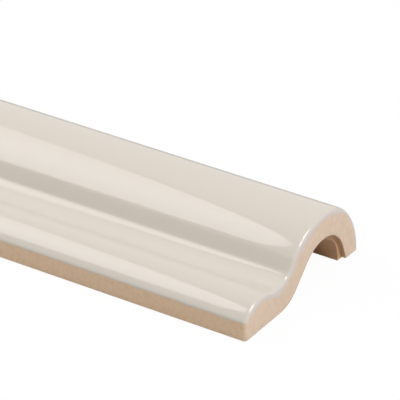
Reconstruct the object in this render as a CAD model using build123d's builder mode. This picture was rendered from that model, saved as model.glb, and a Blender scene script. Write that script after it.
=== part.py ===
"""Chair rail tile: a moulded ceramic trim tile that caps a run of wall tiles.

The tile lies on its back. X runs along its length, Y across its width from the plain front edge
to the big round, and Z is its depth from the wall. The origin is the middle of the back plane.
All sizes are in millimetres and angles in degrees.
"""
from build123d import *
from math import cos, radians, sin, sqrt, tan
import os

# The tile as it is sold
length = 203.2
width = 50.8
depth = 17.5

# The front edge, and the small bead that bulges from it back to the quirk at the web's foot
edge_height = 5.1
bead_bulge = 4.1
quirk_height = 4.1
quirk_radius = 5.6

# The web, and the big round: a broad crown and a far side that falls to the back
web_height = 13.1
web_angle = 51.0
web_top_radius = 4.0
crown_radius = 19.3
crown_inset = 15.8
shoulder_radius = 4.0
far_radius = 19.1

# The hollow back along the run, and the relief that opens it out at each end
hollow_radius = 8.8
hollow_inset = 16.4
hollow_rise = 0.6
hollow_web_angle = 45.0
hollow_bend_radius = 9.7
relief_step = 1.2
relief_depth = 1.1
relief_draft = 20.0

# Arrises softened by the mould and the glaze
end_arris_radius = 0.9
edge_arris_radius = 1.2

crown_centre = Vector(width - crown_inset, depth - crown_radius)
far_centre = Vector(width - far_radius, 0)
hollow_centre = Vector(width - hollow_inset, hollow_rise)
web_top = Vector(crown_centre.X - sqrt(crown_radius**2 - (web_height - crown_centre.Y)**2), web_height)
quirk = Vector(web_top.X - (web_height - quirk_height) / tan(radians(web_angle)), quirk_height)
under_web = Vector(cos(radians(hollow_web_angle)), sin(radians(hollow_web_angle)))


def across(station):
    """The plane across the tile at one station along it, with its corner at the front edge's foot."""
    return Plane(origin=(station, -width / 2, 0), x_dir=(0, 1, 0), z_dir=(1, 0, 0))


def hollow_foot(radius):
    """Where the slope under the web, produced, meets the back plane."""
    on_arch = hollow_centre + Vector(-under_web.Y, under_web.X) * radius
    return on_arch - under_web * (on_arch.Y / under_web.Y)


def hollow_outline(radius, draft):
    """The slope under the web, the arch and its far side, closed on the back plane."""
    with BuildLine() as outline:
        arch = CenterArc(hollow_centre, radius, 90 + hollow_web_angle, draft - 90 - hollow_web_angle)
        spring = arch @ 1
        foot = Vector(spring.X + spring.Y * tan(radians(draft)), 0)
        Polyline(spring, foot, hollow_foot(radius), arch @ 0)
    return outline.edges()


def hollow_section(station, radius, draft):
    """The air in the hollow, with the eased bend where the back turns up under the web."""
    with BuildSketch(across(station)) as section:
        make_face(hollow_outline(radius, draft))
        with BuildLine():
            Polyline((0, 0), (width, 0), (width, -depth), (0, -depth), close=True)
        make_face()
        fillet(section.vertices().sort_by_distance(hollow_foot(radius))[0], hollow_bend_radius)
    return section.sketch


with BuildPart() as tile:
    # The big round is where its crown and its far side meet; the front edge, bead and web join on
    with BuildSketch(across(-length / 2)) as face:
        with Locations(crown_centre):
            Circle(crown_radius)
        with Locations(far_centre):
            Circle(far_radius, mode=Mode.INTERSECT)
        with Locations((web_top.X, 0)):
            Rectangle(width - web_top.X, depth, align=(Align.MIN, Align.MIN), mode=Mode.INTERSECT)
        with BuildLine():
            edge = Line((0, 0), (0, edge_height))
            SagittaArc(edge @ 1, quirk, bead_bulge)
            Polyline(quirk, web_top, (web_top.X, 0), edge @ 0)
        make_face()
        fillet(face.vertices().sort_by(Axis.X)[-2], shoulder_radius)
        for corner, radius in ((web_top, web_top_radius), (quirk, quirk_radius), (edge @ 1, edge_arris_radius)):
            fillet(face.vertices().sort_by_distance(corner)[0], radius)
    extrude(amount=length)

    # The arrises round both ends of the face, which stop at the back plane
    ends = tile.faces().filter_by(Axis.X)
    back = tile.faces().sort_by(Axis.Z)[0]
    fillet(ends.edges() - back.edges(), end_arris_radius)

    # The hollow along the back, opened out a little at each end
    relief_radius = hollow_radius + relief_step
    extrude(hollow_section(-length / 2, hollow_radius, 0), amount=length, mode=Mode.SUBTRACT)
    extrude(hollow_section(-length / 2, relief_radius, relief_draft), amount=relief_depth, mode=Mode.SUBTRACT)
    extrude(hollow_section(length / 2, relief_radius, relief_draft), amount=-relief_depth, mode=Mode.SUBTRACT)

os.makedirs("parts", exist_ok=True)
tile.part.label = "chair_rail_tile"
export_step(tile.part, "parts/chair_rail_tile.step")
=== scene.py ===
from math import cos, pi, radians, sin, sqrt, tan

import bmesh
import bpy
import numpy as np
from mathutils import Matrix, Vector


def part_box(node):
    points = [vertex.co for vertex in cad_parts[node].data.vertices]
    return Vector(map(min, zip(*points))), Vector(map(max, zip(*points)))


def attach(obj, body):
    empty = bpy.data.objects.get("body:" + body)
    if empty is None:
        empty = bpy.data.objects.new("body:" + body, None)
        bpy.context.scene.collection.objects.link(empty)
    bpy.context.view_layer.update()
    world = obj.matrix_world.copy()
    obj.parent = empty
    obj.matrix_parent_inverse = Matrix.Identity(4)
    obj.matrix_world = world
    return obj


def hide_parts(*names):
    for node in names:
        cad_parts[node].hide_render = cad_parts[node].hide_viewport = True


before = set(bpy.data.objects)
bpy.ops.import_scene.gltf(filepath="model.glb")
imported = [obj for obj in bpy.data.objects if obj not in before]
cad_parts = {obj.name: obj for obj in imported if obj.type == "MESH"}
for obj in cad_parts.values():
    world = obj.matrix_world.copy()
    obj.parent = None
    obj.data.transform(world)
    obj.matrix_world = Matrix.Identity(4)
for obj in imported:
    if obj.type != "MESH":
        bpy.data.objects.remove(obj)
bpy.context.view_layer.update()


# The view. The tile is looked at from in front of its right-hand end and a little above it,
# from far off through a long lens, so that its long edges run almost parallel.
stand = Vector((0.43955, -0.56266, 0.40247))
sight = Vector((-0.47373, 0.72632, -0.49803))
bpy.ops.object.camera_add(location=stand, rotation=sight.to_track_quat("-Z", "Y").to_euler())
camera = bpy.context.object
camera.name = "camera"
camera.data.sensor_width = 36
camera.data.lens = 292.5
camera.data.clip_end = 20
bpy.context.scene.camera = camera


# The tile. It is one pressed and fired ceramic body: a bead over a plain front edge, a web that
# sweeps up from a quirk to the big round, and a hollow back that opens out a little at each end.
# Sizes here are in millimetres, counted back from the front edge and up from the bed.
MM = 0.001
low, high = (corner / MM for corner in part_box("chair_rail_tile"))
half_length = high.x
width = high.y - low.y
hair = 0.01

# The front edge is plain, with its foot softened, and an arris goes round both ends. The front
# edge, the far foot and the wall between face and hollow each get the same rows of faces
edge_top = 4.672
foot_round, foot_steps = 0.3, 3
arris = 0.9
rows = 8

# The moulded face is a run of arcs, each with its centre, its turn in degrees and its steps,
# with the straight of the web between them
low_arcs = (
    (1.2, edge_top, -40.68, 4),  # arris of the front edge
    (7.383, -0.642, -70.27, 24),  # bead
    (14.431, 17.766, 40.45, 9),  # floor of the quirk
    (16.721, 11.301, 36, 7),  # foot of the web
)
web_length, web_slope, web_steps = 2.742, 55.5, 5
high_arcs = (
    (23.630, 9.880, -11.27, 3),  # top of the web
    (35.0, -1.8, -55.73, 35),  # crown
    (37.652, 11.233, -13.56, 4),  # shoulder
    (32.4, 0, -64.94, 37),  # far side
)
face_steps = web_steps + sum(arc[3] for arc in low_arcs + high_arcs)

# The hollow is an arch, a slope of 45 degrees under the web and a bend into the flat back. At
# each end the mould leaves it wider, with its far side drafted
arch_y, arch_z = 34.4, 0.6
run_reach, end_reach = 8.8, 10.0
slope_turn = 45
end_draft = 20
relief_depth, relief_wall = 1.1, 0.03
bend = 9.7
bend_run = bend * tan(radians(slope_turn / 2))
slope_steps, flat_steps, back_steps = 10, 2, 29


def place(station, y, z):
    """A point of the section, in metres, at one station along the tile."""
    return Vector((station, y + low.y, z)) * MM


def step(y, z, times=1):
    """Draws on in a straight line, in so many equal steps."""
    for _ in range(times):
        bpy.ops.mesh.extrude_region_move(
            TRANSFORM_OT_translate={"value": (0, y * MM / times, z * MM / times)})


def sweep(station, y, z, turn, steps):
    """Draws on round a centre, by a turn in degrees from Y towards Z."""
    bpy.ops.mesh.spin(steps=steps, angle=radians(-turn), center=place(station, y, z), axis=(1, 0, 0))


def slope_foot(reach):
    """Where the slope under the web, produced, meets the back plane."""
    return arch_y - arch_z - sqrt(2) * reach


def draw_face(station, sunk, rounding):
    """Draws the front edge and the moulded face, up from the bed and down to it again."""
    bpy.ops.mesh.select_all(action="DESELECT")
    bpy.ops.mesh.primitive_plane_add(size=MM, location=place(station, sunk + rounding, 0))
    bpy.ops.mesh.merge(type="CENTER")
    if rounding > hair:
        sweep(station, sunk + rounding, rounding, -90, foot_steps)
        step(0, edge_top - rounding, rows - foot_steps)
    else:
        step(0, edge_top, rows)
    for y, z, turn, steps in low_arcs:
        sweep(station, y, z, turn, steps)
    step(web_length * cos(radians(web_slope)), web_length * sin(radians(web_slope)), web_steps)
    for y, z, turn, steps in high_arcs:
        sweep(station, y, z, turn, steps)


def draw_ring(station, sunk, reach, draft):
    """Draws the whole section once round: the face, the far foot, the hollow and the flat back."""
    rounding = foot_round * (1 - sunk / arris)
    draw_face(station, sunk, rounding)
    in_run = reach == run_reach
    far_steps, arch_steps, bend_steps = (2, 74, 10) if in_run else (16, 60, 12)
    spring = Vector((arch_y + reach * cos(radians(draft)), arch_z + reach * sin(radians(draft))))
    foot = spring.x + spring.y * tan(radians(draft))
    step(foot - width + sunk, 0, rows)
    step(spring.x - foot, spring.y, far_steps)
    sweep(station, arch_y, arch_z, 90 + slope_turn - draft, arch_steps)
    slope = arch_y - reach / sqrt(2) - slope_foot(reach) - bend_run / sqrt(2)
    step(-slope, -slope, slope_steps)
    sweep(station, slope_foot(reach) - bend_run, bend, -slope_turn, bend_steps)
    if in_run:
        step(slope_foot(end_reach) - slope_foot(run_reach), 0, flat_steps)
    flat = slope_foot(end_reach if in_run else reach) - bend_run
    step((sunk + rounding - flat) * back_steps / (back_steps + 1), 0, back_steps)


# The section is drawn at several stations along one half, close together round the arris, where
# the hollow's mouth flares a little too. Each ring has its station, how far it is sunk in, the
# reach and draft of its hollow, and the cuts in the bridge that leads to it
near_end = 7
rings = []
for around, flare in ((90, 0.15), (72, 0.04), (54, 0), (36, 0), (18, 0), (0, 0)):
    station = half_length - arris * (1 - sin(radians(around)))
    sunk = arris * (1 - cos(radians(around)))
    rings.append((station, sunk, end_reach + flare, end_draft, 0))
rings += [
    (half_length - relief_depth, 0, end_reach, end_draft, 0),
    (half_length - relief_depth - relief_wall, 0, run_reach, 0, 0),
    (half_length - near_end, 0, run_reach, 0, 8),
    (0, 0, run_reach, 0, 36),
]
bpy.ops.object.select_all(action="DESELECT")
bpy.ops.mesh.primitive_plane_add(size=MM)
tile = bpy.context.object
tile.name = "tile"
bpy.ops.object.mode_set(mode="EDIT")
bpy.ops.mesh.delete(type="VERT")
for station, sunk, reach, draft, cuts in rings:
    draw_ring(station, sunk, reach, draft)

# Each ring is closed from its last corner to its first
count = len(bmesh.from_edit_mesh(tile.data).verts) // len(rings)
for k in range(len(rings)):
    bpy.ops.mesh.select_all(action="DESELECT")
    drawn = bmesh.from_edit_mesh(tile.data)
    drawn.verts.ensure_lookup_table()
    drawn.verts[k * count].select = True
    drawn.verts[(k + 1) * count - 1].select = True
    drawn.select_flush(True)
    bpy.ops.mesh.edge_face_add()


def bridge(picks, cuts):
    """Bridges the edges whose two corners, counted as drawn, both pass one of the two picks."""
    bpy.ops.mesh.select_mode(type="EDGE")
    bpy.ops.mesh.select_all(action="DESELECT")
    for edge in bmesh.from_edit_mesh(tile.data).edges:
        a, b = sorted(corner.index for corner in edge.verts)
        edge.select_set(any(pick(a, b) for pick in picks))
    bpy.ops.mesh.bridge_edge_loops(number_cuts=cuts, interpolation="LINEAR")


# The rings are bridged one to the next, and the end face is bridged across its wall, from the
# moulded face to the hollow
for k in range(1, len(rings)):
    first, middle, last = (k - 1) * count, k * count, (k + 1) * count - 1
    bridge((lambda a, b: first <= a and b < middle, lambda a, b: middle <= a and b <= last), rings[k][4])
face_end = rows + face_steps
back_start = face_end + rows
bridge((lambda a, b: rows <= a < b <= face_end and b - a == 1,
        lambda a, b: (back_start <= a < b < count and b - a == 1) or (a, b) == (0, count - 1)), rows - 1)
bpy.ops.mesh.select_all(action="SELECT")
bpy.ops.mesh.remove_doubles(threshold=0.005 * MM)
bpy.ops.mesh.dissolve_degenerate(threshold=0.001 * MM)
bpy.ops.object.mode_set(mode="OBJECT")

# The other half is the mirror of this one, because both ends came out of the same mould
mirror = tile.modifiers.new("other_half", "MIRROR")
mirror.merge_threshold = hair * MM
bpy.ops.object.modifier_apply(modifier="other_half")
bpy.ops.object.mode_set(mode="EDIT")
bpy.ops.mesh.select_all(action="SELECT")
bpy.ops.mesh.normals_make_consistent(inside=False)
bpy.ops.object.mode_set(mode="OBJECT")
bpy.ops.object.shade_smooth_by_angle(angle=radians(35))

# The glaze runs over the moulded face and down to an uneven line: it stops short of the bed on
# the front edge and the far side, and on each end it covers a narrow rim, widest in the quirk.
# The section in the middle of the length, less its bed and its hollow, gives the moulded face
front_line, far_line, front_part = 4.75, 0.8, 6
rim_places = (0, 5, 11, 14.5, 16.5, 18, 23, 40, 44.5, 51)
rim_widths = (1.0, 1.6, 1.8, 2.4, 2.0, 1.3, 1.8, 1.8, 0.9, 1.3)
off_bed, over_bend, over_arch = 0.05, 4, 11
front_side, web_back, past_arch = 0.5, 24, 44.8
corners = np.array([corner.co for corner in tile.data.vertices]) / MM - (0, low.y, 0)
section_y, section_z = corners[abs(corners[:, 0]) < hair, 1:].T
moulded = (section_z > over_arch) | (section_y > past_arch) | (section_y < front_side)
moulded |= (section_y < web_back) & (section_z > over_bend)
moulded &= section_z > off_bed
moulded_y, moulded_z = section_y[moulded], section_z[moulded]

# Each corner of the mesh gets its own distance inside the glaze's line, and bare body is far out
bare_body, touching = -3.0, 0.02
inside_line = np.full(len(corners), bare_body)
for k, (x, y, z) in enumerate(corners):
    depth = np.hypot(moulded_y - y, moulded_z - z).min()
    if depth < touching or abs(x) > half_length - arris - hair:
        over_line = z - (front_line if y < front_part else far_line)
        in_rim = np.interp(y, rim_places, rim_widths) - depth
        inside_line[k] = max(bare_body, min(over_line, in_rim))
glaze_reach = tile.data.attributes.new("glaze_reach", "FLOAT", "POINT")
glaze_reach.data.foreach_set("value", inside_line.astype(np.float32))

# The hollow's side, off the bed and between the end faces, is marked for painted shade: the body
# there is darkened to stand in for the shade inside the hollow
hollow_shade_mask = (inside_line < bare_body + 0.1) & (corners[:, 2] > 0.3) & (corners[:, 1] > 1)
hollow_shade_mask &= abs(corners[:, 0]) < half_length - hair
painted_hollow_shade = tile.data.attributes.new("painted_hollow_shade", "FLOAT", "POINT")
painted_hollow_shade.data.foreach_set("value", hollow_shade_mask.astype(np.float32))


def add(nodes, kind, name, values=None, **settings):
    """Adds a node of a kind, with its name, the values of its inputs and its settings."""
    node = nodes.new("ShaderNode" + kind)
    node.name = name
    for setting, choice in settings.items():
        setattr(node, setting, choice)
    for entry, value in (values or {}).items():
        node.inputs[entry].default_value = value
    return node


def link(nodes, source, output, target, entry):
    """Joins one node's output to another's input."""
    nodes.id_data.links.new(nodes[source].outputs[output], nodes[target].inputs[entry])


# A Mix node's inputs for two colours, and its colour output
colour_a, colour_b, mixed = 6, 7, 2

glazed = bpy.data.materials.new("cream_glaze_on_tan_body")
glazed.use_nodes = True
nodes = glazed.node_tree.nodes
nodes["Principled BSDF"].inputs["IOR"].default_value = 1.5

# The glaze covers the body inside its line, which wanders by a few tenths of a millimetre
add(nodes, "TexCoord", "place")
add(nodes, "Attribute", "edge", attribute_name="glaze_reach")
add(nodes, "TexNoise", "wander", {"Scale": 380, "Detail": 3})
add(nodes, "Math", "wandered", {1: 0.9}, operation="MULTIPLY_ADD")
add(nodes, "MapRange", "cover", {"From Min": 0.35, "From Max": 0.60}, interpolation_type="SMOOTHSTEP")
link(nodes, "place", "Object", "wander", "Vector")
link(nodes, "wander", "Fac", "wandered", 0)
link(nodes, "edge", "Fac", "wandered", 2)
link(nodes, "wandered", 0, "cover", "Value")

# The body is a flecked tan, pinker on the two end faces, and darker and browner in the hollow,
# where that is painted shade
add(nodes, "TexNoise", "fleck", {"Scale": 900, "Detail": 5})
tans = add(nodes, "ValToRGB", "body").color_ramp.elements
tans[0].position, tans[0].color = 0.3, (0.663, 0.474, 0.3125, 1)
tans[1].position, tans[1].color = 0.7, (0.739, 0.54, 0.369, 1)
add(nodes, "SeparateXYZ", "axes")
add(nodes, "Math", "away", operation="ABSOLUTE")
add(nodes, "MapRange", "at_end", {"From Min": (half_length - 0.5) * MM, "From Max": (half_length - 0.1) * MM})
add(nodes, "Mix", "fired", {colour_b: (0.90, 0.97, 1.10, 1)}, data_type="RGBA", blend_type="MULTIPLY")
# Painted shade: the body in the hollow is multiplied darker and browner to stand in for its shade
add(nodes, "Attribute", "under", attribute_name="painted_hollow_shade")
add(nodes, "Mix", "hollow_shade", {colour_b: (0.68, 0.56, 0.46, 1)}, data_type="RGBA", blend_type="MULTIPLY")
link(nodes, "place", "Object", "fleck", "Vector")
link(nodes, "fleck", "Fac", "body", "Fac")
link(nodes, "place", "Object", "axes", "Vector")
link(nodes, "axes", "X", "away", 0)
link(nodes, "away", 0, "at_end", "Value")
link(nodes, "at_end", "Result", "fired", 0)
link(nodes, "body", "Color", "fired", colour_a)
link(nodes, "under", "Fac", "hollow_shade", 0)
link(nodes, "fired", mixed, "hollow_shade", colour_a)

# The glaze is a cream gloss, and a little cooler where it laps on to the ends
cream, cool_cream = (0.600, 0.548, 0.481, 1), (0.61, 0.555, 0.51, 1)
add(nodes, "Mix", "rim", {colour_a: cream, colour_b: cool_cream}, data_type="RGBA")
add(nodes, "Mix", "colour", data_type="RGBA")
add(nodes, "MapRange", "polish", {"To Min": 0.9, "To Max": 0.03})
link(nodes, "at_end", "Result", "rim", 0)
link(nodes, "cover", "Result", "colour", 0)
link(nodes, "hollow_shade", mixed, "colour", colour_a)
link(nodes, "rim", mixed, "colour", colour_b)
link(nodes, "cover", "Result", "polish", "Value")
link(nodes, "colour", mixed, "Principled BSDF", "Base Color")
link(nodes, "polish", "Result", "Principled BSDF", "Roughness")

# The bare body has a sandy grain, and the glaze stands a little proud of it
add(nodes, "TexNoise", "grain", {"Scale": 2200, "Detail": 4})
add(nodes, "MapRange", "bare", {"To Min": 1, "To Max": 0})
add(nodes, "Math", "sandy", operation="MULTIPLY")
add(nodes, "Math", "coat", {1: 1.2}, operation="MULTIPLY_ADD")
add(nodes, "Bump", "raised", {"Strength": 0.4, "Distance": 0.1 * MM})
link(nodes, "place", "Object", "grain", "Vector")
link(nodes, "cover", "Result", "bare", "Value")
link(nodes, "grain", "Fac", "sandy", 0)
link(nodes, "bare", "Result", "sandy", 1)
link(nodes, "sandy", 0, "coat", 0)
link(nodes, "cover", "Result", "coat", 2)
link(nodes, "coat", 0, "raised", "Height")
link(nodes, "raised", "Normal", "Principled BSDF", "Normal")
tile.data.materials.append(glazed)
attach(tile, "root")
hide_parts("chair_rail_tile")


# The floor. It is a wide sheet of matt white paper, just under the tile's bed, that fades into
# the white room. It keeps the tile's soft shadow, and in a gloss it shows as a pale grey.
def part_sight_from_light(nodes):
    """Adds the node shown: 1 for what is seen, in a gloss and through glass too, else 0."""
    add(nodes, "LightPath", "rays")
    add(nodes, "Math", "seen", operation="MAXIMUM")
    add(nodes, "Math", "shown", operation="MAXIMUM")
    link(nodes, "rays", "Is Camera Ray", "seen", 0)
    link(nodes, "rays", "Is Glossy Ray", "seen", 1)
    link(nodes, "seen", 0, "shown", 0)
    link(nodes, "rays", "Is Transmission Ray", "shown", 1)


floor_size, floor_drop = 6, 0.0001
bpy.ops.object.select_all(action="DESELECT")
bpy.ops.mesh.primitive_plane_add(size=floor_size, location=(0, 0, -floor_drop))
floor = bpy.context.object
floor.name = "floor"
paper = bpy.data.materials.new("white_paper")
paper.use_nodes = True
floor.data.materials.append(paper)
sheet = paper.node_tree.nodes
sheet["Principled BSDF"].inputs["Base Color"].default_value = (0.8, 0.8, 0.8, 1)
sheet["Principled BSDF"].inputs["Roughness"].default_value = 0.9
part_sight_from_light(sheet)
add(sheet, "MapRange", "dim", {"To Min": 1, "To Max": 0.5})
add(sheet, "Emission", "glow")
add(sheet, "Math", "share", {1: 0.95}, operation="MULTIPLY")
add(sheet, "MixShader", "blend")
link(sheet, "rays", "Is Glossy Ray", "dim", "Value")
link(sheet, "dim", "Result", "glow", "Strength")
link(sheet, "shown", 0, "share", 0)
link(sheet, "share", 0, "blend", 0)
link(sheet, "Principled BSDF", "BSDF", "blend", 1)
link(sheet, "glow", "Emission", "blend", 2)
link(sheet, "blend", "Shader", "Material Output", "Surface")


# The room. It is white all round to the eye and in the glaze, and it gives the tile a low, even
# light from every side.
room = bpy.data.worlds.new("white_room")
bpy.context.scene.world = room
room.use_nodes = True
air = room.node_tree.nodes
air["Background"].inputs["Color"].default_value = (1, 1, 1, 1)
part_sight_from_light(air)
add(air, "MapRange", "level", {"To Min": 0.265, "To Max": 1})
link(air, "shown", 0, "level", "Value")
link(air, "level", "Result", "Background", "Strength")


# The softbox. It is an oval one over the front of the tile and to its left, and it makes the
# long bright bands on the crown, in the quirk and on the bead. Its low side is cut off straight,
# and its light fades towards its top.
box_tilt, box_distance, box_aside, box_down = 10, 0.6, 0.2305, 0.045
box_width, box_height, box_level = 0.6, 0.76, 2.95
low_cut, fade_start, fade_end = 0.29, 0.60, 0.95
near_crown = Vector((0.04, 0, 0.015))
to_box = Vector((-0.474, -0.88 * sin(radians(box_tilt)), 0.88 * cos(radians(box_tilt))))
along_box = (Vector((1, 0, 0)) - to_box * to_box.x).normalized()
up_box = to_box.cross(along_box)
box_middle = near_crown + to_box * box_distance - along_box * box_aside - up_box * box_down
bpy.ops.object.light_add(type="AREA", location=box_middle)
softbox = bpy.context.object
softbox.name = "softbox"
softbox.rotation_euler = Matrix((along_box, up_box, to_box)).transposed().to_euler()
softbox.data.shape = "ELLIPSE"
softbox.data.size = box_width
softbox.data.size_y = box_height
softbox.data.energy = box_level * pi * pi * box_width * box_height / 4
softbox.data.use_nodes = True
screen = softbox.data.node_tree.nodes
add(screen, "NewGeometry", "spot")
add(screen, "SeparateXYZ", "sides")
add(screen, "Math", "over_cut", {1: low_cut}, operation="GREATER_THAN")
add(screen, "MapRange", "fade", {"From Min": fade_start, "From Max": fade_end, "To Min": 1, "To Max": 0.4})
add(screen, "Math", "shine", operation="MULTIPLY")
link(screen, "spot", "Parametric", "sides", 0)
link(screen, "sides", "Y", "over_cut", 0)
link(screen, "sides", "Y", "fade", "Value")
link(screen, "over_cut", 0, "shine", 0)
link(screen, "fade", "Result", "shine", 1)
link(screen, "shine", 0, "Emission", "Strength")


# The side lamp. It is a round soft lamp, high up and off the tile's right-hand end, that lights
# the end face and gives the arris its small highlights.
lamp_place = Vector((0.75, 0.05, 1.0))
bpy.ops.object.light_add(type="AREA", location=lamp_place)
side_lamp = bpy.context.object
side_lamp.name = "side_lamp"
side_lamp.rotation_euler = (-lamp_place).to_track_quat("-Z", "Y").to_euler()
side_lamp.data.shape = "DISK"
side_lamp.data.size = 0.6
side_lamp.data.energy = 12.1

bpy.context.scene.view_settings.view_transform = "Standard"
